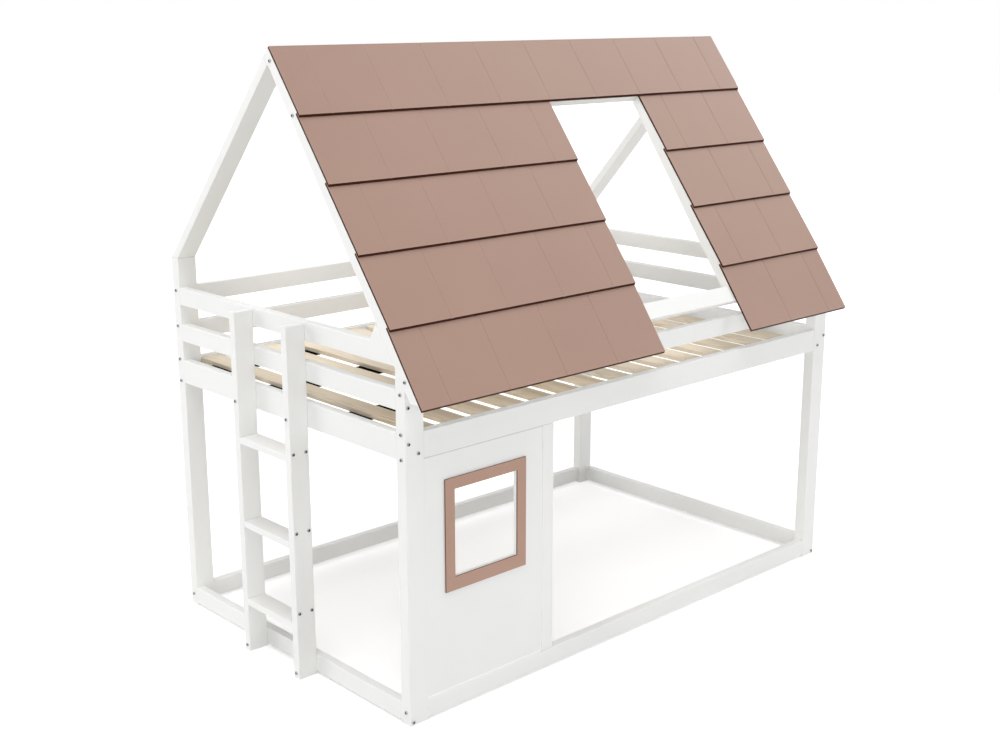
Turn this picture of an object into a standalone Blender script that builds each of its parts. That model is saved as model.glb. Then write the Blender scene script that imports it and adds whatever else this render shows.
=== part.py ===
# House-shaped bunk bed: a painted board frame with a boarded roof slope, a skylight opening,
# a window panel, a ladder on the left end and a slatted upper bunk.
# Lengths are metres. Sizes below are read from the outer corner of the front left post:
# X runs along the bed to the right, Y runs from the front to the back, Z is up from the floor.

import math

import bmesh
import bpy

# Frame size and stock
FRAME_LENGTH = 2.070
FRAME_DEPTH = 1.266
POST_WIDTH = 0.070
POST_THICKNESS = 0.042
RAIL_THICKNESS = 0.030
CLEARANCE = 0.0003
EDGE_ROUND = 0.0018
EDGE_STEPS = 2

# Rail heights, bottom and top edge of each
FLOOR_RAIL = (0.008, 0.068)
BED_RAIL = (0.840, 0.922)
GUARD_LOWER = (0.990, 1.051)
GUARD_UPPER = (1.119, 1.179)

# The upper end rails rise to a point in the corner under the front rafter
CORNER_REACH = 0.069
CORNER_PITCH = math.radians(59.5)

# Roof frame
FRONT_PITCH = math.radians(54.9)
BACK_PITCH = math.radians(48.07)
FRONT_POST_TOP = 1.0555
BACK_POST_TOP = 1.280
EAVE_DROP = 0.0345
RAFTER_THICKNESS = 0.035
PURLIN_THICKNESS = 0.030

# Boards in the front slope, measured down the slope from the ridge corner of the rafters;
# the lower purlin is measured up and down the slope from the front faces of the posts
RIDGE_BEAM = (0.012, 0.072)
UPPER_PURLIN = (0.190, 0.250)
LOWER_PURLIN_UP = 0.0478
LOWER_PURLIN_DOWN = 0.0112

# Roof boards
ROOF_BOARD = 0.008
ROOF_OVERHANG = 0.002
RIDGE_SETBACK = 0.005
EAVE_OVERHANG = 0.0156
ROW_SHARES = (0.2046, 0.1950, 0.1940, 0.1998, 0.2066)
ROW_LAP = 0.015
BUTT_BEVEL = math.radians(27)
OPENING_LEFT = 1.0357
OPENING_RIGHT = 1.4985
GROOVE_WIDTH = 0.005
GROOVE_DEPTH = 0.0018
ODD_GROOVES = (0.108, 0.338, 0.578, 0.808, 1.731, 1.967)
EVEN_GROOVES = (0.230, 0.460, 0.700, 0.930, 1.613, 1.848)
TOP_GROOVES = (0.118, 0.348, 0.578, 0.808, 1.039, 1.269, 1.499, 1.729, 1.960)

# Window panel beside the front left post
PANEL_SETBACK = 0.003
PANEL_THICKNESS = 0.012
STILE_LEFT = 0.5556
STILE_WIDTH = 0.0477
TRIM_LEFT = 0.1469
TRIM_BOTTOM = 0.3938
TRIM_WIDTH = 0.3322
TRIM_HEIGHT = 0.3609
TRIM_SIDE_BAND = 0.037
TRIM_TOP_BAND = 0.0365
TRIM_BOTTOM_BAND = 0.0430
TRIM_THICKNESS = 0.005

# Ladder on the outside of the left end
STRINGER_WIDTH = 0.070
STRINGER_THICKNESS = 0.030
STRINGER_FRONT = 0.4819
STRINGER_BACK = 0.7701
STRINGER_TOP = 1.1725
RUNG_TOPS = (0.191, 0.469, 0.758)
RUNG_THICKNESS = 0.022

# Slatted base of the upper bunk
SLAT_COUNT = 15
SLAT_WIDTH = 0.070
DECK_STOP = 0.2145
SLAT_THICKNESS = 0.015
SLAT_SIDE_GAP = 0.0005
SLAT_END_GAP = 0.0015
LEDGE_TOP = 0.905
LEDGE_WIDTH = 0.039
LEDGE_HEIGHT = 0.035

# Finishes: colour, roughness, metallic
WHITE_PAINT = ((0.83, 0.82, 0.80), 0.42, 0.0)
ROOF_PAINT = ((0.42, 0.27, 0.22), 0.48, 0.0)
PINE = ((0.66, 0.50, 0.33), 0.60, 0.0)

for old in list(bpy.data.objects):
    bpy.data.objects.remove(old, do_unlink=True)

bed_parts = bpy.data.collections.new("house_bunk_bed")
bpy.context.scene.collection.children.link(bed_parts)


def finish(name, look):
    colour, roughness, metallic = look
    material = bpy.data.materials.new(name)
    material.use_nodes = True
    shader = material.node_tree.nodes["Principled BSDF"]
    shader.inputs["Base Color"].default_value = (*colour, 1.0)
    shader.inputs["Roughness"].default_value = roughness
    shader.inputs["Metallic"].default_value = metallic
    return material


def add_part(name, mesh, look):
    part = bpy.data.objects.new(name, mesh)
    bed_parts.objects.link(part)
    mesh.materials.append(finish(name + "_finish", look))
    part.parent = bed_origin
    return part


def round_edges(part):
    bevel = part.modifiers.new("eased_edges", "BEVEL")
    bevel.width = EDGE_ROUND
    bevel.segments = EDGE_STEPS
    bevel.limit_method = "ANGLE"
    bevel.angle_limit = math.radians(25)
    bevel.use_clamp_overlap = True


def board(name, x_span, y_span, z_span, look):
    """A straight board between three pairs of coordinates."""
    size = [span[1] - span[0] for span in (x_span, y_span, z_span)]
    mesh = bpy.data.meshes.new(name)
    bm = bmesh.new()
    bmesh.ops.create_cube(bm, size=1.0)
    bmesh.ops.scale(bm, vec=size, verts=bm.verts)
    bm.to_mesh(mesh)
    bm.free()
    part = add_part(name, mesh, look)
    part.location = [(span[0] + span[1]) / 2 for span in (x_span, y_span, z_span)]
    round_edges(part)
    return part


def cut_board(name, outlines, reach, look, rotation, location, eased=True):
    """A board with a drawn outline, extruded by its reach; further outlines are holes."""
    curve = bpy.data.curves.new(name, "CURVE")
    curve.dimensions = "2D"
    curve.fill_mode = "BOTH"
    curve.extrude = reach / 2
    for outline in outlines:
        spline = curve.splines.new("POLY")
        spline.points.add(len(outline) - 1)
        for point, (u, v) in zip(spline.points, outline):
            point.co = (u, v, 0.0, 1.0)
        spline.use_cyclic_u = True
    drawing = bpy.data.objects.new(name + "_outline", curve)
    bed_parts.objects.link(drawing)
    bpy.context.view_layer.update()
    evaluated = drawing.evaluated_get(bpy.context.evaluated_depsgraph_get())
    mesh = bpy.data.meshes.new_from_object(evaluated)
    mesh.name = name
    bpy.data.objects.remove(drawing, do_unlink=True)
    mesh.materials.clear()
    bm = bmesh.new()
    bm.from_mesh(mesh)
    bmesh.ops.remove_doubles(bm, verts=bm.verts, dist=CLEARANCE / 10)
    if len(outlines) == 1:
        bmesh.ops.dissolve_limit(bm, angle_limit=math.radians(1), verts=bm.verts, edges=bm.edges)
    bmesh.ops.recalc_face_normals(bm, faces=bm.faces)
    bm.to_mesh(mesh)
    bm.free()
    part = add_part(name, mesh, look)
    part.rotation_euler = rotation
    part.location = location
    if eased:
        round_edges(part)
    return part


def end_board(name, outline, x_span, look):
    """A board across the bed, its outline drawn in Y and Z."""
    turn = (math.radians(90), 0.0, math.radians(90))
    middle = (x_span[0] + x_span[1]) / 2
    return cut_board(name, [outline], x_span[1] - x_span[0], look, turn, (middle, 0.0, 0.0))


def meet(p, p_angle, q, q_angle):
    """Where two lines in the Y and Z plane cross, each given by a point and an angle."""
    py, pz = math.cos(p_angle), math.sin(p_angle)
    qy, qz = math.cos(q_angle), math.sin(q_angle)
    along = ((q[0] - p[0]) * qz - (q[1] - p[1]) * qy) / (py * qz - pz * qy)
    return (p[0] + along * py, p[1] + along * pz)


# Lines of the roof frame in the Y and Z plane
under_point = (0.0, FRONT_POST_TOP)
under_gap = (0.0, FRONT_POST_TOP - CLEARANCE / math.cos(FRONT_PITCH))
over_point = (0.0, FRONT_POST_TOP + RAFTER_THICKNESS / math.cos(FRONT_PITCH))
back_angle = math.pi - BACK_PITCH
back_outer = (FRAME_DEPTH, BACK_POST_TOP)
back_inner = (FRAME_DEPTH - POST_THICKNESS, BACK_POST_TOP)
apex = meet(over_point, FRONT_PITCH, back_outer, back_angle)
eave_z = FRONT_POST_TOP - EAVE_DROP
front_face_down = apex[0] / math.cos(FRONT_PITCH)
lower_purlin = (front_face_down - LOWER_PURLIN_UP, front_face_down + LOWER_PURLIN_DOWN)

# The parts' origin is under the middle of everything: ladder, frame and roof
eave_down = (apex[1] - eave_z) / math.sin(FRONT_PITCH)
roof_reach = eave_down + EAVE_OVERHANG - RIDGE_SETBACK
row_ends = [RIDGE_SETBACK]
for share in ROW_SHARES:
    row_ends.append(row_ends[-1] + share * roof_reach)
butt_slant = ROOF_BOARD * math.tan(BUTT_BEVEL)
eave_tip = (
    apex[0]
    - math.cos(FRONT_PITCH) * (row_ends[-1] - butt_slant / 2)
    - math.sin(FRONT_PITCH) * (CLEARANCE + ROOF_BOARD)
)
left_most = -CLEARANCE - STRINGER_WIDTH
right_most = FRAME_LENGTH + ROOF_OVERHANG
bed_origin = bpy.data.objects.new("bed_origin", None)
bed_parts.objects.link(bed_origin)
bed_origin.location = (-(left_most + right_most) / 2, -(eave_tip + FRAME_DEPTH) / 2, 0.0)

# Corner posts: the front ones are cut to the roof's slope, the back ones are square
post_x = {"left": (0.0, POST_WIDTH), "right": (FRAME_LENGTH - POST_WIDTH, FRAME_LENGTH)}
for side, x_span in post_x.items():
    top_in = meet(under_gap, FRONT_PITCH, (POST_THICKNESS, 0.0), math.radians(90))
    outline = [(0.0, 0.0), (POST_THICKNESS, 0.0), top_in, under_gap]
    end_board("post_front_" + side, outline, x_span, WHITE_PAINT)
    back_span = (FRAME_DEPTH - POST_THICKNESS, FRAME_DEPTH)
    board("post_back_" + side, x_span, back_span, (0.0, BACK_POST_TOP - CLEARANCE), WHITE_PAINT)

# End rails, flush with the posts' outer faces and butted between them
rail_x = {
    "left": (0.0, RAIL_THICKNESS),
    "right": (FRAME_LENGTH - RAIL_THICKNESS, FRAME_LENGTH),
}
end_y = (POST_THICKNESS + CLEARANCE, FRAME_DEPTH - POST_THICKNESS - CLEARANCE)
for side, x_span in rail_x.items():
    board("floor_rail_" + side, x_span, end_y, FLOOR_RAIL, WHITE_PAINT)
    board("bed_rail_" + side, x_span, end_y, BED_RAIL, WHITE_PAINT)
    board("guard_rail_lower_" + side, x_span, end_y, GUARD_LOWER, WHITE_PAINT)
    low, high = GUARD_UPPER
    inside = (0.0, FRONT_POST_TOP - 2 * CLEARANCE / math.cos(FRONT_PITCH))
    low_y = max(end_y[0], meet(inside, FRONT_PITCH, (0.0, low), 0.0)[0])
    high_y = max(end_y[0], meet(inside, FRONT_PITCH, (0.0, high), 0.0)[0])
    corner_foot = (high_y + CORNER_REACH, high)
    corner_tip = meet(inside, FRONT_PITCH, corner_foot, math.pi - CORNER_PITCH)
    outline = [(low_y, low), (end_y[1], low), (end_y[1], high), corner_foot, corner_tip, (high_y, high)]
    end_board("guard_rail_upper_" + side, outline, x_span, WHITE_PAINT)

# Long rails between the posts; the bed rails carry a ledge for the slats inside
long_x = (POST_WIDTH + CLEARANCE, FRAME_LENGTH - POST_WIDTH - CLEARANCE)
front_y = (0.0, RAIL_THICKNESS)
back_y = (FRAME_DEPTH - RAIL_THICKNESS, FRAME_DEPTH)
board("floor_rail_front", long_x, front_y, FLOOR_RAIL, WHITE_PAINT)
board("floor_rail_back", long_x, back_y, FLOOR_RAIL, WHITE_PAINT)
board("guard_rail_front", long_x, front_y, GUARD_LOWER, WHITE_PAINT)
board("guard_rail_lower_back", long_x, back_y, GUARD_LOWER, WHITE_PAINT)
board("guard_rail_upper_back", long_x, back_y, GUARD_UPPER, WHITE_PAINT)


def ledged_rail(name, outer, inward):
    """A bed rail with a ledge on its inner face; inward is the sign of Y towards the bed."""
    face = outer + inward * RAIL_THICKNESS
    lip = face + inward * LEDGE_WIDTH
    outline = [
        (outer, BED_RAIL[0]),
        (face, BED_RAIL[0]),
        (face, LEDGE_TOP - LEDGE_HEIGHT),
        (lip, LEDGE_TOP - LEDGE_HEIGHT),
        (lip, LEDGE_TOP),
        (face, LEDGE_TOP),
        (face, BED_RAIL[1]),
        (outer, BED_RAIL[1]),
    ]
    return end_board(name, outline, long_x, WHITE_PAINT)


ledged_rail("bed_rail_front", 0.0, 1)
ledged_rail("bed_rail_back", FRAME_DEPTH, -1)

# Rafters at both ends: the front one lies on the post's slope and runs on to the eave,
# the back one stands on its post and meets the front one's underside
tip_under = meet(under_point, FRONT_PITCH, (0.0, eave_z), 0.0)
tip_over = meet(over_point, FRONT_PITCH, (0.0, eave_z), 0.0)
ridge_under = meet(under_point, FRONT_PITCH, back_outer, back_angle)
joint_outer = meet(under_gap, FRONT_PITCH, back_outer, back_angle)
joint_inner = meet(under_gap, FRONT_PITCH, back_inner, back_angle)
for side, x_span in post_x.items():
    end_board("rafter_front_" + side, [tip_over, tip_under, ridge_under, apex], x_span, WHITE_PAINT)
    end_board("rafter_back_" + side, [back_inner, back_outer, joint_outer, joint_inner], x_span, WHITE_PAINT)


def slope_board(name, x_span, s_span, thickness, look):
    """A board flush with the top of the front rafters, measured down the slope from the ridge."""
    length = s_span[1] - s_span[0]
    mesh = bpy.data.meshes.new(name)
    bm = bmesh.new()
    bmesh.ops.create_cube(bm, size=1.0)
    bmesh.ops.scale(bm, vec=(x_span[1] - x_span[0], length, thickness), verts=bm.verts)
    bm.to_mesh(mesh)
    bm.free()
    part = add_part(name, mesh, look)
    down = (s_span[0] + s_span[1]) / 2
    part.location = (
        (x_span[0] + x_span[1]) / 2,
        apex[0] - math.cos(FRONT_PITCH) * down + math.sin(FRONT_PITCH) * thickness / 2,
        apex[1] - math.sin(FRONT_PITCH) * down - math.cos(FRONT_PITCH) * thickness / 2,
    )
    part.rotation_euler = (FRONT_PITCH, 0.0, 0.0)
    round_edges(part)
    return part


# Ridge beam, purlins and the two short rafters beside the skylight opening
slope_board("ridge_beam", long_x, RIDGE_BEAM, PURLIN_THICKNESS, WHITE_PAINT)
slope_board("purlin_upper", long_x, UPPER_PURLIN, PURLIN_THICKNESS, WHITE_PAINT)
slope_board("purlin_lower", long_x, lower_purlin, PURLIN_THICKNESS, WHITE_PAINT)
short_s = (UPPER_PURLIN[1] + CLEARANCE, lower_purlin[0] - CLEARANCE)
left_end = OPENING_LEFT - ROOF_OVERHANG
right_end = OPENING_RIGHT + ROOF_OVERHANG
opening_left_x = (left_end - POST_WIDTH, left_end)
opening_right_x = (right_end, right_end + POST_WIDTH)
slope_board("rafter_opening_left", opening_left_x, short_s, RAFTER_THICKNESS, WHITE_PAINT)
slope_board("rafter_opening_right", opening_right_x, short_s, RAFTER_THICKNESS, WHITE_PAINT)


def roof_board(name, row, x_span):
    """One lapped roof board with shallow V grooves that part it into shingles.

    Its lower end is cut at a slant, so the underside reaches further down than the face.
    """
    top = row_ends[row] - (ROW_LAP if row else 0.0)
    reach = row_ends[row + 1] - top
    tilt = 0.0
    if row + 1 < len(ROW_SHARES):
        next_top = row_ends[row + 1] - ROW_LAP
        tilt = math.atan((ROOF_BOARD + 2 * CLEARANCE) / (next_top - top))
    grooves = EVEN_GROOVES if row % 2 else ODD_GROOVES
    if row == 0:
        grooves = TOP_GROOVES
    outline = [(x_span[0], 0.0), (x_span[1], 0.0), (x_span[1], ROOF_BOARD)]
    for groove in reversed(grooves):
        if x_span[0] + GROOVE_WIDTH < groove < x_span[1] - GROOVE_WIDTH:
            outline.append((groove + GROOVE_WIDTH / 2, ROOF_BOARD))
            outline.append((groove, ROOF_BOARD - GROOVE_DEPTH))
            outline.append((groove - GROOVE_WIDTH / 2, ROOF_BOARD))
    outline.append((x_span[0], ROOF_BOARD))
    pitch = FRONT_PITCH - tilt
    turn = (math.radians(90) + pitch, 0.0, 0.0)
    upper_edge = (
        apex[0] - math.cos(FRONT_PITCH) * top - math.sin(FRONT_PITCH) * CLEARANCE,
        apex[1] - math.sin(FRONT_PITCH) * top + math.cos(FRONT_PITCH) * CLEARANCE,
    )
    middle = (
        0.0,
        upper_edge[0] - math.cos(pitch) * reach / 2,
        upper_edge[1] - math.sin(pitch) * reach / 2,
    )
    part = cut_board(name, [outline], reach, ROOF_PAINT, turn, middle, eased=False)
    for corner in part.data.vertices:
        if corner.co.z > 0.0:
            corner.co.z += butt_slant * (0.5 - corner.co.y / ROOF_BOARD)
    return part


# Roof boards: the top row runs through, the others leave the skylight open
roof_x = (-ROOF_OVERHANG, FRAME_LENGTH + ROOF_OVERHANG)
roof_board("roof_board_1", 0, roof_x)
for row in range(1, len(ROW_SHARES)):
    number = str(row + 1)
    roof_board("roof_board_" + number + "_left", row, (roof_x[0], OPENING_LEFT))
    roof_board("roof_board_" + number + "_right", row, (OPENING_RIGHT, roof_x[1]))


def rectangle(left, bottom, width, height):
    return [(left, bottom), (left + width, bottom), (left + width, bottom + height), (left, bottom + height)]


# Window panel: a thin sheet with a square hole, with a thicker stile on its right
face_turn = (math.radians(90), 0.0, 0.0)
panel_z = (FLOOR_RAIL[1] + CLEARANCE, BED_RAIL[0] - CLEARANCE)
panel_width = STILE_LEFT - CLEARANCE - long_x[0]
sheet = rectangle(long_x[0], panel_z[0], panel_width, panel_z[1] - panel_z[0])
window = rectangle(
    TRIM_LEFT + TRIM_SIDE_BAND,
    TRIM_BOTTOM + TRIM_BOTTOM_BAND,
    TRIM_WIDTH - 2 * TRIM_SIDE_BAND,
    TRIM_HEIGHT - TRIM_TOP_BAND - TRIM_BOTTOM_BAND,
)
panel_y = PANEL_SETBACK + PANEL_THICKNESS / 2
cut_board(
    "window_panel", [sheet, window], PANEL_THICKNESS, WHITE_PAINT, face_turn, (0.0, panel_y, 0.0), eased=False
)
board("panel_stile", (STILE_LEFT, STILE_LEFT + STILE_WIDTH), front_y, panel_z, WHITE_PAINT)

# Window trim: a flat frame on the panel's face
trim_outer = rectangle(TRIM_LEFT, TRIM_BOTTOM, TRIM_WIDTH, TRIM_HEIGHT)
trim_y = PANEL_SETBACK - CLEARANCE - TRIM_THICKNESS / 2
cut_board(
    "window_trim", [trim_outer, window], TRIM_THICKNESS, ROOF_PAINT, face_turn, (0.0, trim_y, 0.0), eased=False
)

# Ladder
stringer_x = (-CLEARANCE - STRINGER_WIDTH, -CLEARANCE)
for side, start in (("front", STRINGER_FRONT), ("back", STRINGER_BACK)):
    y_span = (start, start + STRINGER_THICKNESS)
    board("ladder_stringer_" + side, stringer_x, y_span, (0.0, STRINGER_TOP), WHITE_PAINT)
rung_y = (STRINGER_FRONT + STRINGER_THICKNESS + CLEARANCE, STRINGER_BACK - CLEARANCE)
for number, top in enumerate(RUNG_TOPS, start=1):
    board("ladder_rung_" + str(number), stringer_x, rung_y, (top - RUNG_THICKNESS, top), WHITE_PAINT)

# Slats, lying across the bed on the two ledges
slat_first = POST_WIDTH + SLAT_SIDE_GAP
slat_last = FRAME_LENGTH - DECK_STOP - SLAT_WIDTH
slat_pitch = (slat_last - slat_first) / (SLAT_COUNT - 1)
slat_y = (RAIL_THICKNESS + SLAT_END_GAP, FRAME_DEPTH - RAIL_THICKNESS - SLAT_END_GAP)
slat_z = (LEDGE_TOP + CLEARANCE, LEDGE_TOP + CLEARANCE + SLAT_THICKNESS)
for number in range(SLAT_COUNT):
    start = slat_first + number * slat_pitch
    board("slat_%02d" % (number + 1), (start, start + SLAT_WIDTH), slat_y, slat_z, PINE)
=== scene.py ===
import math

import bmesh
import bpy
from mathutils import Matrix, Vector


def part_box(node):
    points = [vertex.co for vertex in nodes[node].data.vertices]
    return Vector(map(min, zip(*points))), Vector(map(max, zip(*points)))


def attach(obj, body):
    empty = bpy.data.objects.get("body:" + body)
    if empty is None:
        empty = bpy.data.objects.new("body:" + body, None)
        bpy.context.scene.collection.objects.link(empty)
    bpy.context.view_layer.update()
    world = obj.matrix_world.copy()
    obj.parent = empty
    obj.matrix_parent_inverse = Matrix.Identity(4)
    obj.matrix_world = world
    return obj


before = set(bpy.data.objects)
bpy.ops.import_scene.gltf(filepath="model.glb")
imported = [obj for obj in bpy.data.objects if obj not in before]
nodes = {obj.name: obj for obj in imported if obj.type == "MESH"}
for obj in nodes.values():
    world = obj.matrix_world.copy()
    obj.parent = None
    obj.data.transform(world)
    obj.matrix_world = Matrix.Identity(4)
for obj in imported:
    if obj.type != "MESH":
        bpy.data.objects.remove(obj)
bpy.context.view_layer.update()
scene = bpy.context.scene
scene.view_settings.view_transform = "Standard"


# Small helpers for node materials
class Shader:
    """A material's node tree with short calls for adding and joining nodes."""

    def __init__(self, name):
        self.material = bpy.data.materials.new(name)
        self.material.use_nodes = True
        self.tree = self.material.node_tree
        self.surface = self.tree.nodes["Principled BSDF"]

    def node(self, kind, **settings):
        made = self.tree.nodes.new("ShaderNode" + kind)
        for key, value in settings.items():
            setattr(made, key, value)
        return made

    def link(self, start, end):
        self.tree.links.new(start, end)

    def feed(self, socket, value):
        if isinstance(value, bpy.types.NodeSocket):
            self.link(value, socket)
        else:
            socket.default_value = value

    def math(self, operation, first, second=None):
        made = self.node("Math", operation=operation)
        for socket, value in zip(made.inputs, (first, second)):
            if value is not None:
                self.feed(socket, value)
        return made.outputs[0]

    def place(self, scale=(1, 1, 1), turn=(0, 0, 0)):
        """Object coordinates, scaled and turned."""
        coordinates = self.node("TexCoord")
        mapping = self.node("Mapping")
        mapping.inputs["Scale"].default_value = scale
        mapping.inputs["Rotation"].default_value = turn
        self.link(coordinates.outputs["Object"], mapping.inputs["Vector"])
        return mapping.outputs[0]

    def noise(self, vector, scale, detail=3.0, roughness=0.5, distortion=0.0):
        made = self.node("TexNoise")
        self.link(vector, made.inputs["Vector"])
        made.inputs["Scale"].default_value = scale
        made.inputs["Detail"].default_value = detail
        made.inputs["Roughness"].default_value = roughness
        made.inputs["Distortion"].default_value = distortion
        return made.outputs["Fac"]

    def ramp(self, value, stops, interpolation="LINEAR"):
        made = self.node("ValToRGB")
        made.color_ramp.interpolation = interpolation
        elements = made.color_ramp.elements
        while len(elements) < len(stops):
            elements.new(0.5)
        for element, (position, colour) in zip(elements, stops):
            element.position = position
            element.color = (*colour, 1.0)
        self.link(value, made.inputs["Fac"])
        return made.outputs["Color"]

    def spread(self, value, low, high, from_low=0.0, from_high=1.0):
        made = self.node("MapRange")
        self.link(value, made.inputs["Value"])
        made.inputs["From Min"].default_value = from_low
        made.inputs["From Max"].default_value = from_high
        made.inputs["To Min"].default_value = low
        made.inputs["To Max"].default_value = high
        return made.outputs["Result"]

    def mix(self, factor, first, second, blend="MIX"):
        made = self.node("Mix", data_type="RGBA", blend_type=blend)
        self.feed(made.inputs[0], factor)
        for socket, value in ((made.inputs[6], first), (made.inputs[7], second)):
            self.feed(socket, value if isinstance(value, bpy.types.NodeSocket) else (*value, 1.0))
        return made.outputs[2]

    def bump(self, height, distance, strength=1.0, normal=None):
        made = self.node("Bump")
        made.inputs["Distance"].default_value = distance
        made.inputs["Strength"].default_value = strength
        self.link(height, made.inputs["Height"])
        if normal is not None:
            self.link(normal, made.inputs["Normal"])
        return made.outputs["Normal"]


def dress(name, material):
    """Gives a CAD node its material."""
    materials = nodes[name].data.materials
    materials.clear()
    materials.append(material)


def add_piece(name, bm, materials, sharp=None):
    """Makes an object of a built mesh and lets it ride on the bed."""
    bmesh.ops.recalc_face_normals(bm, faces=bm.faces)
    mesh = bpy.data.meshes.new(name)
    bm.to_mesh(mesh)
    bm.free()
    for material in materials:
        mesh.materials.append(material)
    if sharp is not None:
        mesh.set_sharp_from_angle(angle=sharp)
    piece = bpy.data.objects.new(name, mesh)
    scene.collection.objects.link(piece)
    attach(piece, "root")


# Painted softwood: satin white with the grain just telling through the paint
GRAIN_STRETCH = 0.05


def white_paint(name, along, painted_light=None):
    """White paint on wood with its grain along an axis, or along Y turned by an angle."""
    s = Shader(name)
    stretch = [1.0, 1.0, 1.0]
    turn = (0.0, 0.0, 0.0)
    if isinstance(along, float):
        turn = (-along, 0.0, 0.0)
        stretch[1] = GRAIN_STRETCH
    else:
        stretch["XYZ".index(along)] = GRAIN_STRETCH
    grain_space = s.place(scale=stretch, turn=turn)
    grain = s.noise(grain_space, 260.0, 5.0, 0.62, 0.4)
    cloud = s.noise(s.place(), 3.2, 2.0, 0.5)
    stipple = s.noise(s.place(), 900.0, 2.0, 0.5)
    tone = s.ramp(cloud, [(0.35, (0.842, 0.843, 0.832)), (0.65, (0.862, 0.862, 0.850))])
    lines = s.ramp(grain, [(0.30, (0.992, 0.992, 0.990)), (0.55, (1.0, 1.0, 1.0))])
    paint = s.mix(1.0, tone, lines, "MULTIPLY")
    # Painted shade and highlight factors, where given, multiply over the paint
    if painted_light is not None:
        paint = s.mix(1.0, paint, painted_light(s), "MULTIPLY")
    s.link(paint, s.surface.inputs["Base Color"])
    s.link(s.spread(grain, 0.36, 0.46), s.surface.inputs["Roughness"])
    s.surface.inputs["Specular IOR Level"].default_value = 0.45
    fine = s.bump(stipple, 0.00004, 0.5)
    s.link(s.bump(grain, 0.00006, 0.5, fine), s.surface.inputs["Normal"])
    return s.material


# The drawing's corner of the front left post lies here in the part's own frame
CORNER = Vector((-1.00085, -0.59219, 0.0))

# The roof's two pitches, the rafters' ridge corner and the front slope's two directions
front_pitch = math.radians(54.9)
back_pitch = math.radians(48.07)
ridge = CORNER + Vector((0.0, 0.6203, 1.9989))
down_front = Vector((0.0, -math.cos(front_pitch), -math.sin(front_pitch)))
out_front = Vector((0.0, -math.sin(front_pitch), math.cos(front_pitch)))

# White paint for each direction that a board's grain can take
white_x = white_paint("white_paint_along_x", "X")
white_y = white_paint("white_paint_along_y", "Y")
white_z = white_paint("white_paint_upright", "Z")
white_front = white_paint("white_paint_front_slope", front_pitch)
white_back = white_paint("white_paint_back_slope", -back_pitch)

# Window panel: on its front a painted shade line under the bed rail, and painted highlight lines at
# its foot and by its stile
PANEL_TOP, PANEL_FOOT, PANEL_RIGHT = 0.8397, 0.0683, 0.5553
TOP_LINE, FOOT_LINE, STILE_LINE = 0.0036, 0.0052, 0.0032
SHADE_UNDER_RAIL = (0.70, 0.71, 0.72)
HIGHLIGHT_ON_LEDGE = (1.14, 1.14, 1.15)
HIGHLIGHT_BY_STILE = (1.07, 1.07, 1.075)
PLAIN = (1.0, 1.0, 1.0)
# A face looks along a direction from this cosine on, and sideways from the second one
FACING = 0.7
SIDEWAYS = 0.9


def panel_painted_light(s):
    """Factors on the panel's paint that draw the painted shade line under the bed rail and the
    painted highlight lines at its foot and by its stile.
    """
    parts = s.node("SeparateXYZ")
    s.link(s.place(), parts.inputs[0])
    under_rail = s.math("GREATER_THAN", parts.outputs["Z"], CORNER.z + PANEL_TOP - TOP_LINE)
    on_ledge = s.math("LESS_THAN", parts.outputs["Z"], CORNER.z + PANEL_FOOT + FOOT_LINE)
    by_stile = s.math("GREATER_THAN", parts.outputs["X"], CORNER.x + PANEL_RIGHT - STILE_LINE)
    painted_light = s.mix(by_stile, PLAIN, HIGHLIGHT_BY_STILE)
    painted_light = s.mix(on_ledge, painted_light, HIGHLIGHT_ON_LEDGE)
    painted_light = s.mix(under_rail, painted_light, SHADE_UNDER_RAIL)
    geometry = s.node("NewGeometry")
    normal = s.node("SeparateXYZ")
    s.link(geometry.outputs["True Normal"], normal.inputs[0])
    in_front = s.math("LESS_THAN", normal.outputs["Y"], -FACING)
    return s.mix(in_front, PLAIN, painted_light)


white_panel = white_paint("white_paint_panel", "Z", panel_painted_light)
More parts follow.
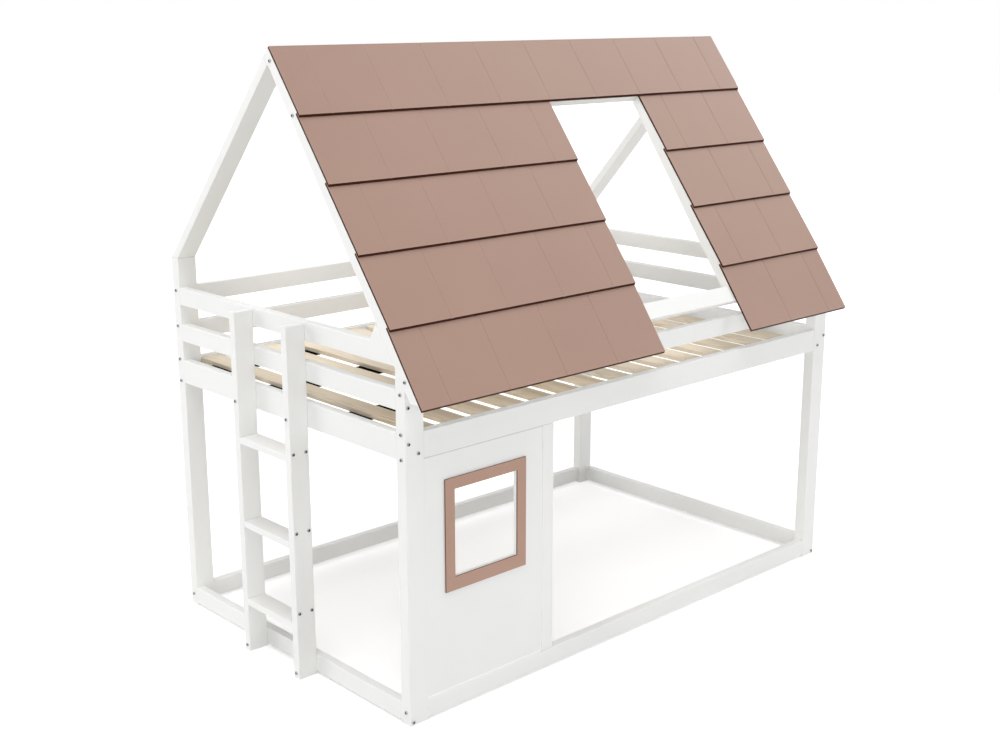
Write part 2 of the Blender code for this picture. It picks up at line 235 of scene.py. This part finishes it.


# Roof paint: dusty rose-brown satin, the sawn edges stained dark, the inside left white; on the
# roof boards the dark is partly painted shade, where they sit on the rafters and under the laps
def roof_paint(name, facing, lift, edge_colour, side_line, butt=None):
    """Paint on the face that looks along facing; sawn ends, and the face along butt if given, are
    painted above side_line and stained dark below it, on the roof partly as painted shade.
    """
    s = Shader(name)
    cloud = s.noise(s.place(), 2.3, 3.0, 0.5)
    brush = s.noise(s.place(scale=(0.04, 1.0, 1.0)), 420.0, 4.0, 0.6)
    speck = s.noise(s.place(), 700.0, 2.0, 0.5)
    low = tuple(base * more for base, more in zip((0.341, 0.215, 0.167), lift))
    high = tuple(base * more for base, more in zip((0.361, 0.229, 0.179), lift))
    tone = s.ramp(cloud, [(0.3, low), (0.7, high)])
    streak = s.ramp(brush, [(0.3, (0.982, 0.980, 0.978)), (0.6, (1.0, 1.0, 1.0))])
    face = s.mix(1.0, tone, streak, "MULTIPLY")
    geometry = s.node("NewGeometry")
    lifted = s.node("VectorMath", operation="DOT_PRODUCT")
    s.link(geometry.outputs["True Normal"], lifted.inputs[0])
    lifted.inputs[1].default_value = facing
    on_face = s.math("GREATER_THAN", lifted.outputs["Value"], FACING)
    inside = s.math("LESS_THAN", lifted.outputs["Value"], -FACING)
    turned = s.node("SeparateXYZ")
    s.link(geometry.outputs["True Normal"], turned.inputs[0])
    on_end = s.math("GREATER_THAN", s.math("ABSOLUTE", turned.outputs["X"]), SIDEWAYS)
    if butt is not None:
        downward = s.node("VectorMath", operation="DOT_PRODUCT")
        s.link(geometry.outputs["True Normal"], downward.inputs[0])
        downward.inputs[1].default_value = butt
        on_butt = s.math("GREATER_THAN", downward.outputs["Value"], FACING)
        on_end = s.math("MAXIMUM", on_end, on_butt)
    coordinates = s.node("TexCoord")
    height = s.node("VectorMath", operation="DOT_PRODUCT")
    s.link(coordinates.outputs["Object"], height.inputs[0])
    height.inputs[1].default_value = facing
    above_line = s.math("GREATER_THAN", height.outputs["Value"], side_line)
    painted = s.math("MAXIMUM", on_face, s.math("MULTIPLY", on_end, above_line))
    # Dark mottled stain on the edges; on the roof boards it is partly painted shade at the seams
    # and under the laps
    edge_mottle = s.noise(s.place(), 160.0, 3.0, 0.6)
    dark = tuple(DARKER * channel for channel in edge_colour)
    stain_and_shade = s.ramp(edge_mottle, [(0.3, dark), (0.7, edge_colour)])
    colour = s.mix(painted, stain_and_shade, face)
    white = s.ramp(cloud, [(0.3, (0.83, 0.83, 0.82)), (0.7, (0.85, 0.85, 0.84))])
    s.link(s.mix(inside, colour, white), s.surface.inputs["Base Color"])
    s.link(s.spread(cloud, 0.36, 0.44), s.surface.inputs["Roughness"])
    s.link(s.spread(painted, 0.05, 0.42), s.surface.inputs["Specular IOR Level"])
    fine = s.bump(speck, 0.00004, 0.4)
    s.link(s.bump(brush, 0.00008, 0.4, fine), s.surface.inputs["Normal"])
    return s.material


# Roof rows: where the boards' tops lie down the slope; each laps over the next one
ROW_TOPS = (0.0050, 0.2367, 0.4719, 0.7058, 0.9467)
BOARD_THICKNESS = 0.0080
GAP = 0.0003
# The dark stain on the sawn ends reaches this far up from the boards' undersides; it is partly
# painted shade along the seam where the boards sit on the rafters
END_LINE = 0.0062
# Colour of that stain, partly painted shade
EDGE_STAIN_AND_SHADE = (0.050, 0.014, 0.009)
DARKER = 0.85
ROOF_LIFT = PLAIN
# The window's frame is painted lighter, and its edges are stained all over
TRIM_LIFT = (1.24, 1.20, 1.14)
TRIM_STAIN = (0.20, 0.115, 0.085)
OUT_OF_REACH = 10.0


def row_paint(row):
    """Roof paint for one row, with the stained line along its boards' undersides, partly painted
    shade where they sit on the rafters.
    """
    tilt = 0.0
    if row + 1 < len(ROW_TOPS):
        tilt = math.atan((BOARD_THICKNESS + 2 * GAP) / (ROW_TOPS[row + 1] - ROW_TOPS[row]))
    facing = out_front * math.cos(tilt) - down_front * math.sin(tilt)
    underside = ridge + down_front * ROW_TOPS[row] + out_front * GAP
    butt = down_front if tilt == 0.0 else None
    line = underside.dot(facing) + END_LINE
    return roof_paint("roof_paint_%d" % (row + 1), facing, ROOF_LIFT, EDGE_STAIN_AND_SHADE, line, butt)


row_paints = [row_paint(row) for row in range(len(ROW_TOPS))]
trim_brown = roof_paint("trim_paint", (0.0, -1.0, 0.0), TRIM_LIFT, TRIM_STAIN, OUT_OF_REACH)


# Bare pine: flamed grain along Y; painted shade at the front ends as far as slat 7, browner and
# with the bands drawn stronger, where the roof's front slope shades them
SLAT_MARGIN = 0.01
# Painted shade under the roof's front slope: full up to the first distance from the front, gone by
# the second, and along X it ends between the next two, under the skylight
ROOF_SHADE_START, ROOF_SHADE_END = 0.16, 0.56
ROOF_SHADE_UP_TO, SKYLIGHT_FROM = 0.885, 0.920


def pine():
    s = Shader("pine")
    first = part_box("slat_01")[0]
    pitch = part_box("slat_02")[0].x - first.x
    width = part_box("slat_01")[1].x - first.x
    coordinates = s.node("TexCoord")
    parts = s.node("SeparateXYZ")
    s.link(coordinates.outputs["Object"], parts.inputs[0])
    counted = s.math("DIVIDE", s.math("SUBTRACT", parts.outputs["X"], first.x - SLAT_MARGIN), pitch)
    index = s.math("FLOOR", counted)
    into = s.math("MULTIPLY", s.math("FRACT", counted), pitch)
    across = s.math("DIVIDE", s.math("SUBTRACT", into, SLAT_MARGIN), width)
    chance = s.node("TexWhiteNoise", noise_dimensions="1D")
    s.link(index, chance.inputs["W"])
    offset = s.math("MULTIPLY", index, 3.7)
    spot = s.node("CombineXYZ")
    s.link(s.math("ADD", across, offset), spot.inputs["X"])
    s.link(s.math("ADD", s.math("MULTIPLY", parts.outputs["Y"], 1.1), offset), spot.inputs["Y"])
    s.link(s.math("MULTIPLY", parts.outputs["Z"], 8.0), spot.inputs["Z"])
    warp = s.noise(spot.outputs[0], 1.6, 2.0, 0.5)
    rings = s.math("ADD", s.math("MULTIPLY", across, 4.0), s.math("MULTIPLY", warp, 5.0))
    band = s.math("PINGPONG", rings, 0.5)
    flame = s.ramp(band, [
        (0.0, (0.770, 0.668, 0.530)),
        (0.32, (0.815, 0.722, 0.590)),
        (0.5, (0.705, 0.588, 0.440)),
    ], "EASE")
    fibre_space = s.place(scale=(1.0, 0.03, 1.0))
    fibre = s.noise(fibre_space, 500.0, 5.0, 0.65)
    threads = s.ramp(fibre, [(0.3, (0.93, 0.915, 0.895)), (0.62, (1.0, 1.0, 1.0))])
    heart = s.ramp(across, [(0.50, (1.0, 1.0, 1.0)), (0.75, (0.955, 0.950, 0.935))], "EASE")
    wavering = s.math("ADD", across, s.math("MULTIPLY", s.math("SUBTRACT", warp, 0.5), 0.35))
    shaded_bands = s.ramp(wavering, [
        (0.0, (1.10, 1.10, 1.08)),
        (0.28, (1.07, 1.06, 1.04)),
        (0.44, (0.96, 0.92, 0.88)),
        (0.60, (0.85, 0.84, 0.79)),
        (0.78, (0.88, 0.87, 0.82)),
        (1.0, (1.04, 1.03, 1.02)),
    ], "EASE")
    shade = s.ramp(chance.outputs["Value"], [(0.0, (0.95, 0.945, 0.93)), (1.0, (1.03, 1.03, 1.03))])
    # Painted shade: the slats' front ends browner and more banded, fading further back and giving
    # way under the skylight
    front_end = s.math("ADD", parts.outputs["Y"], s.math("MULTIPLY", warp, 0.12))
    out_of_shade = s.spread(front_end, 0.0, 1.0, CORNER.y + ROOF_SHADE_START, CORNER.y + ROOF_SHADE_END)
    start, end = CORNER.x + ROOF_SHADE_UP_TO, CORNER.x + SKYLIGHT_FROM
    under_skylight = s.spread(parts.outputs["X"], 0.0, 1.0, start, end)
    out_of_shade = s.math("MAXIMUM", out_of_shade, under_skylight)
    roof_shade = s.ramp(out_of_shade, [(0.2, (0.945, 0.905, 0.870)), (1.0, (1.0, 1.0, 1.0))], "EASE")
    colour = s.mix(1.0, flame, threads, "MULTIPLY")
    colour = s.mix(1.0, colour, roof_shade, "MULTIPLY")
    colour = s.mix(1.0, colour, s.mix(out_of_shade, shaded_bands, heart), "MULTIPLY")
    colour = s.mix(1.0, colour, shade, "MULTIPLY")
    s.link(colour, s.surface.inputs["Base Color"])
    s.link(s.spread(fibre, 0.52, 0.68), s.surface.inputs["Roughness"])
    s.surface.inputs["Specular IOR Level"].default_value = 0.35
    s.link(s.bump(fibre, 0.00015, 0.6), s.surface.inputs["Normal"])
    return s.material


pine_wood = pine()


# Zinc-plated steel for the bolts
def zinc():
    s = Shader("zinc")
    haze = s.noise(s.place(), 900.0, 3.0, 0.6)
    tone = s.ramp(haze, [(0.3, (0.30, 0.305, 0.31)), (0.7, (0.40, 0.405, 0.41))])
    s.link(tone, s.surface.inputs["Base Color"])
    s.link(s.spread(haze, 0.26, 0.42), s.surface.inputs["Roughness"])
    s.surface.inputs["Metallic"].default_value = 1.0
    s.link(s.bump(haze, 0.00003, 0.4), s.surface.inputs["Normal"])
    return s.material


zinc_steel = zinc()


# Painted shade: the bolts' sockets lined near black, for the shade down in them
def socket_shade_paint():
    s = Shader("socket_shade")
    haze = s.noise(s.place(), 700.0, 2.0, 0.5)
    tone = s.ramp(haze, [(0.3, (0.012, 0.012, 0.013)), (0.7, (0.022, 0.022, 0.024))])
    s.link(tone, s.surface.inputs["Base Color"])
    s.surface.inputs["Roughness"].default_value = 0.6
    s.surface.inputs["Specular IOR Level"].default_value = 0.2
    return s.material


socket_shade = socket_shade_paint()


# Black webbing: ribs along the strap crossed by a fine weave
def webbing():
    s = Shader("black_webbing")
    ribs = s.node("TexWave", wave_type="BANDS", bands_direction="Y", wave_profile="SIN")
    s.link(s.place(), ribs.inputs["Vector"])
    ribs.inputs["Scale"].default_value = 110.0
    weave = s.node("TexWave", wave_type="BANDS", bands_direction="X", wave_profile="SIN")
    s.link(s.place(), weave.inputs["Vector"])
    weave.inputs["Scale"].default_value = 160.0
    height = s.math("MULTIPLY", ribs.outputs["Fac"], weave.outputs["Fac"])
    tone = s.ramp(height, [(0.0, (0.0015, 0.0015, 0.0018)), (1.0, (0.005, 0.005, 0.006))])
    s.link(tone, s.surface.inputs["Base Color"])
    s.surface.inputs["Roughness"].default_value = 0.9
    s.surface.inputs["Specular IOR Level"].default_value = 0.01
    s.link(s.bump(height, 0.0006, 0.8), s.surface.inputs["Normal"])
    return s.material


black_webbing = webbing()

# Materials on the CAD nodes, by the direction of each board's grain
for name in nodes:
    if name.startswith("slat"):
        dress(name, pine_wood)
    elif name.startswith("roof_board"):
        dress(name, row_paints[int(name.split("_")[2]) - 1])
    elif name == "window_trim":
        dress(name, trim_brown)
    elif name.startswith(("post", "ladder_stringer")) or name == "panel_stile":
        dress(name, white_z)
    elif name.startswith("rafter_back"):
        dress(name, white_back)
    elif name.startswith("rafter"):
        dress(name, white_front)
    elif name.startswith("ladder_rung") or name.endswith(("_left", "_right")):
        dress(name, white_y)
    elif name == "window_panel":
        dress(name, white_panel)
    else:
        dress(name, white_x)


# Packing strips on the rafters: thin white wedges under the lapped roof boards
WEDGE_START = 0.025
WEDGE_STOP = 0.001


def packing(rafter, rows):
    """One object with the wedges of one rafter, one under each row that laps over the next."""
    low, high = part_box(rafter)
    bm = bmesh.new()
    for row in rows:
        top, below = ROW_TOPS[row], ROW_TOPS[row + 1]
        rise = (BOARD_THICKNESS + 2 * GAP) / (below - top)
        start, stop = top + WEDGE_START, below - WEDGE_STOP
        corners = (
            (start, GAP),
            (stop, GAP),
            (stop, (stop - top) * rise),
            (start, (start - top) * rise),
        )
        rings = []
        for x in (low.x, high.x):
            ring = []
            for down, height in corners:
                spot = ridge + down_front * down + out_front * height
                ring.append(bm.verts.new((x, spot.y, spot.z)))
            rings.append(ring)
        bm.faces.new(rings[0])
        bm.faces.new(list(reversed(rings[1])))
        for index in range(len(corners)):
            after = (index + 1) % len(corners)
            bm.faces.new((rings[0][index], rings[1][index], rings[1][after], rings[0][after]))
    add_piece("packing_" + rafter, bm, (white_front,))


for side in ("left", "right"):
    packing("rafter_front_" + side, (0, 1, 2, 3))
    packing("rafter_opening_" + side, (1, 2, 3))

# Bolt heads: low domes with a hexagon socket
HEAD_RADIUS = 0.0058
HEAD_HEIGHT = 0.0036
SOCKET_RADIUS = 0.0037
SOCKET_DEPTH = 0.0026
SOCKET_LIP = 1.12
RIM_HEIGHT = 0.0012
SEAT_RINGS = (
    (HEAD_RADIUS * 0.97, -0.0004),
    (HEAD_RADIUS, 0.0006),
    (HEAD_RADIUS, RIM_HEIGHT),
)
SOCKET_RINGS = ((0.0002, 1.0), (SOCKET_DEPTH, 0.98))
DOME_RINGS = 5
AROUND = 36
SHARP_ANGLE = math.radians(38)
# Each bolt of a board is turned further than the one before, so the sockets don't line up
FIRST_TURN, NEXT_TURN = 0.4, 0.7


def hexagon_radius(angle):
    """Distance from a socket's middle to its hexagon wall, in the direction of an angle."""
    step = math.pi / 3
    return SOCKET_RADIUS * math.cos(step / 2) / math.cos((angle % step) - step / 2)


def bolt_rings():
    """Rings of a head, from the seat over the dome and down into the socket."""
    rings = []
    for radius, height in SEAT_RINGS:
        rings.append([(radius, height)] * AROUND)
    inner = SOCKET_RADIUS * SOCKET_LIP
    for step in range(1, DOME_RINGS + 1):
        turn = math.pi / 2 * step / DOME_RINGS
        radius = inner + (HEAD_RADIUS - inner) * math.cos(turn)
        rings.append([(radius, RIM_HEIGHT + (HEAD_HEIGHT - RIM_HEIGHT) * math.sin(turn))] * AROUND)
    for depth, share in SOCKET_RINGS:
        ring = []
        for index in range(AROUND):
            angle = 2 * math.pi * index / AROUND
            ring.append((hexagon_radius(angle) * share, HEAD_HEIGHT - depth))
        rings.append(ring)
    return rings


def add_head(bm, centre, outward, turn):
    """Adds one bolt head to a mesh, its seat at centre and its dome towards outward."""
    outward = Vector(outward).normalized()
    side = outward.orthogonal().normalized()
    up = outward.cross(side)
    loops = []
    for ring in bolt_rings():
        loop = []
        for index, (radius, height) in enumerate(ring):
            angle = 2 * math.pi * index / AROUND + turn
            spot = side * (radius * math.cos(angle)) + up * (radius * math.sin(angle))
            spot = spot + outward * height
            loop.append(bm.verts.new(Vector(centre) + spot))
        loops.append(loop)
    for first, second in zip(loops, loops[1:]):
        for index in range(AROUND):
            after = (index + 1) % AROUND
            face = bm.faces.new((first[index], first[after], second[after], second[index]))
            face.smooth = True
            # Socket faces take the second material, the near-black painted shade
            face.material_index = 1 if second is loops[-1] else 0
    bm.faces.new(loops[-1]).material_index = 1
    bm.faces.new(list(reversed(loops[0])))


def bolts(name, spots):
    """One object with the bolt heads of one board: (centre, outward) for each."""
    bm = bmesh.new()
    for index, (centre, outward) in enumerate(spots):
        add_head(bm, centre, outward, FIRST_TURN + NEXT_TURN * index)
    add_piece(name, bm, (zinc_steel, socket_shade), SHARP_ANGLE)


# Places of the bolts on posts, rafters and ladder
END_OUT = {"left": -1.0, "right": 1.0}
POST_BOLTS = (
    ("front", (0.040, 0.844, 0.920, 1.039), 0.019),
    ("back", (0.039, 0.845, 0.9225, 1.041, 1.1665), 0.020),
)
OUTER_INSET, INNER_INSET = 0.012, 0.048
BED_RAIL_UPPER, BED_RAIL_LOWER = 0.893, 0.859
FLOOR_RAIL_BOLT = 0.011
GUARD_RAIL_BOLT = 1.002
RAFTER_BOLTS = (0.040, 0.230, 1.110)
RAFTER_MIDDLE = 0.0175
RUNG_BOLTS = (0.229, 0.502, 0.764)
RUNG_INSETS = (0.0597, 0.0125)
STRINGER_BOLTS = (0.020, 0.877)

for side, out in END_OUT.items():
    for end, heights, inset in POST_BOLTS:
        post = "post_" + end + "_" + side
        low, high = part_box(post)
        x = low.x if out < 0 else high.x
        y = low.y + inset if end == "front" else high.y - inset
        spots = [((x, y, z), (out, 0, 0)) for z in heights]
        face = low.y if end == "front" else high.y
        away = -1.0 if end == "front" else 1.0
        outer = x - out * OUTER_INSET
        inner = x - out * INNER_INSET
        spots.append(((outer, face, BED_RAIL_UPPER), (0, away, 0)))
        spots.append(((inner, face, BED_RAIL_LOWER), (0, away, 0)))
        spots.append(((outer, face, FLOOR_RAIL_BOLT), (0, away, 0)))
        if end == "front" and side == "left":
            spots.append(((outer, face, GUARD_RAIL_BOLT), (0, away, 0)))
        bolts("bolts_" + post, spots)

for side, out in END_OUT.items():
    low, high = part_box("rafter_front_" + side)
    x = low.x if out < 0 else high.x
    spots = []
    for down in RAFTER_BOLTS:
        centre = ridge + down_front * down - out_front * RAFTER_MIDDLE
        spots.append(((x, centre.y, centre.z), (out, 0, 0)))
    bolts("bolts_rafter_" + side, spots)

for side, away in (("front", -1.0), ("back", 1.0)):
    low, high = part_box("ladder_stringer_" + side)
    y = low.y if away < 0 else high.y
    spots = []
    for z in RUNG_BOLTS:
        for inset in RUNG_INSETS:
            spots.append(((high.x - inset, y, z), (0, away, 0)))
    middle = (low.y + high.y) / 2
    for z in STRINGER_BOLTS:
        spots.append(((low.x, middle, z), (-1, 0, 0)))
    bolts("bolts_stringer_" + side, spots)


# Webbing straps under the slats, from one end rail's inner face to the other's
STRAP_THICKNESS = 0.0016
STRAP_END_GAP = 0.0005
STRAP_TOP_GAP = 0.0004
STRAP_STEPS = 240
STRAPS = (
    ("strap_front", 0.243, 0.358),
    ("strap_middle", 0.664, 0.792),
    ("strap_back", 1.030, 1.150),
)


def strap(name, y_low, y_high):
    """One flat strap from end rail to end rail, in many short lengths."""
    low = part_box("bed_rail_left")[1].x + STRAP_END_GAP
    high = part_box("bed_rail_right")[0].x - STRAP_END_GAP
    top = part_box("slat_01")[0].z - STRAP_TOP_GAP
    bm = bmesh.new()
    bottom, upper = [], []
    for index in range(STRAP_STEPS + 1):
        x = low + (high - low) * index / STRAP_STEPS
        for row, z in ((upper, top), (bottom, top - STRAP_THICKNESS)):
            row.append([bm.verts.new((x, y, z)) for y in (y_low, y_high)])
    for index in range(STRAP_STEPS):
        a, b = upper[index], upper[index + 1]
        c, d = bottom[index], bottom[index + 1]
        bm.faces.new((a[0], b[0], b[1], a[1]))
        bm.faces.new((c[0], c[1], d[1], d[0]))
        bm.faces.new((a[0], c[0], d[0], b[0]))
        bm.faces.new((a[1], b[1], d[1], c[1]))
    bm.faces.new((upper[0][0], upper[0][1], bottom[0][1], bottom[0][0]))
    bm.faces.new((upper[-1][0], bottom[-1][0], bottom[-1][1], upper[-1][1]))
    add_piece(name, bm, (black_webbing,))


for name, start, stop in STRAPS:
    strap(name, start + CORNER.y, stop + CORNER.y)

# Camera at the photo's viewpoint
STAND = Vector((-2.40165, -2.99808, 2.10439))
camera_data = bpy.data.cameras.new("camera")
camera_data.sensor_width = 36.0
camera_data.lens = 50.366
camera_data.shift_x = 0.00475
camera_data.shift_y = -0.00409
camera_data.clip_end = 60.0
camera = bpy.data.objects.new("camera", camera_data)
scene.collection.objects.link(camera)
scene.camera = camera
right = Vector((0.73617, -0.67679, -0.00224))
above = Vector((0.17098, 0.18278, 0.96817))
ahead = Vector((0.65484, 0.71312, -0.25028))
turned = Matrix((right, above, -ahead)).transposed().to_4x4()
camera.matrix_world = Matrix.Translation(CORNER + STAND) @ turned


# Floor: pale, with a glow for camera, glossy and transmission rays that keeps its shadow faint
FLOOR_GLOW = 0.42
FLOOR_REACH = 30
FLOOR_DROP = 0.0004


def floor_material():
    s = Shader("pale_floor")
    speck = s.noise(s.place(), 60.0, 3.0, 0.5)
    tone = s.ramp(speck, [(0.3, (0.80, 0.80, 0.795)), (0.7, (0.82, 0.82, 0.815))])
    s.link(tone, s.surface.inputs["Base Color"])
    s.surface.inputs["Roughness"].default_value = 0.9
    s.surface.inputs["Specular IOR Level"].default_value = 0.1
    path = s.node("LightPath")
    seen = s.math("MAXIMUM", path.outputs["Is Camera Ray"], path.outputs["Is Glossy Ray"])
    seen = s.math("MAXIMUM", seen, path.outputs["Is Transmission Ray"])
    s.surface.inputs["Emission Color"].default_value = (1.0, 1.0, 1.0, 1.0)
    s.link(s.math("MULTIPLY", seen, FLOOR_GLOW), s.surface.inputs["Emission Strength"])
    return s.material


floor_mesh = bpy.data.meshes.new("floor")
quarters = ((-1, -1), (1, -1), (1, 1), (-1, 1))
floor_corners = [(x * FLOOR_REACH, y * FLOOR_REACH, 0) for x, y in quarters]
floor_mesh.from_pydata(floor_corners, [], [(0, 1, 2, 3)])
floor_mesh.materials.append(floor_material())
floor = bpy.data.objects.new("floor", floor_mesh)
floor.location.z = -FLOOR_DROP
scene.collection.objects.link(floor)

# World: weak even light on the bed, white to the camera and in reflections
WORLD_LIGHT = 0.15
world = bpy.data.worlds.new("studio")
scene.world = world
world.use_nodes = True
tree = world.node_tree
background = tree.nodes["Background"]
background.inputs["Color"].default_value = (1.0, 1.0, 1.0, 1.0)
path = tree.nodes.new("ShaderNodeLightPath")
seen = tree.nodes.new("ShaderNodeMath")
seen.operation = "MAXIMUM"
tree.links.new(path.outputs["Is Camera Ray"], seen.inputs[0])
tree.links.new(path.outputs["Is Transmission Ray"], seen.inputs[1])
both = tree.nodes.new("ShaderNodeMath")
both.operation = "MAXIMUM"
tree.links.new(seen.outputs[0], both.inputs[0])
tree.links.new(path.outputs["Is Glossy Ray"], both.inputs[1])
strength = tree.nodes.new("ShaderNodeMapRange")
strength.inputs["To Min"].default_value = WORLD_LIGHT
strength.inputs["To Max"].default_value = 1.0
tree.links.new(both.outputs[0], strength.inputs["Value"])
tree.links.new(strength.outputs["Result"], background.inputs["Strength"])

# Soft lamps all round; azimuth 0 stands in front of the bed, 90 on its right
LAMP_SPREAD = math.radians(30.0)
LAMP_ENERGY = math.pi * 0.25
LAMP_DISTANCE = 6.0
LAMPS = (
    ("top", 0.0, 90.0, 1.33),
    ("key_left", 315.0, 62.0, 1.02),
    ("low_left", 315.0, 12.0, 1.02),
    ("side_left", 270.0, 62.0, 0.35),
    ("side_right", 90.0, 38.0, 0.70),
    ("low_right", 45.0, 12.0, 0.85),
    ("back_left", 225.0, 12.0, 1.08),
    ("back_low", 180.0, 12.0, 1.19),
)
for name, azimuth, elevation, power in LAMPS:
    data = bpy.data.lights.new(name, "SUN")
    data.energy = LAMP_ENERGY * power
    data.angle = LAMP_SPREAD
    lamp = bpy.data.objects.new(name, data)
    scene.collection.objects.link(lamp)
    turn, lift = math.radians(azimuth), math.radians(elevation)
    level = math.cos(lift)
    towards = Vector((math.sin(turn) * level, -math.cos(turn) * level, math.sin(lift)))
    lamp.rotation_euler = towards.to_track_quat("Z", "Y").to_euler()
    lamp.location = towards * LAMP_DISTANCE
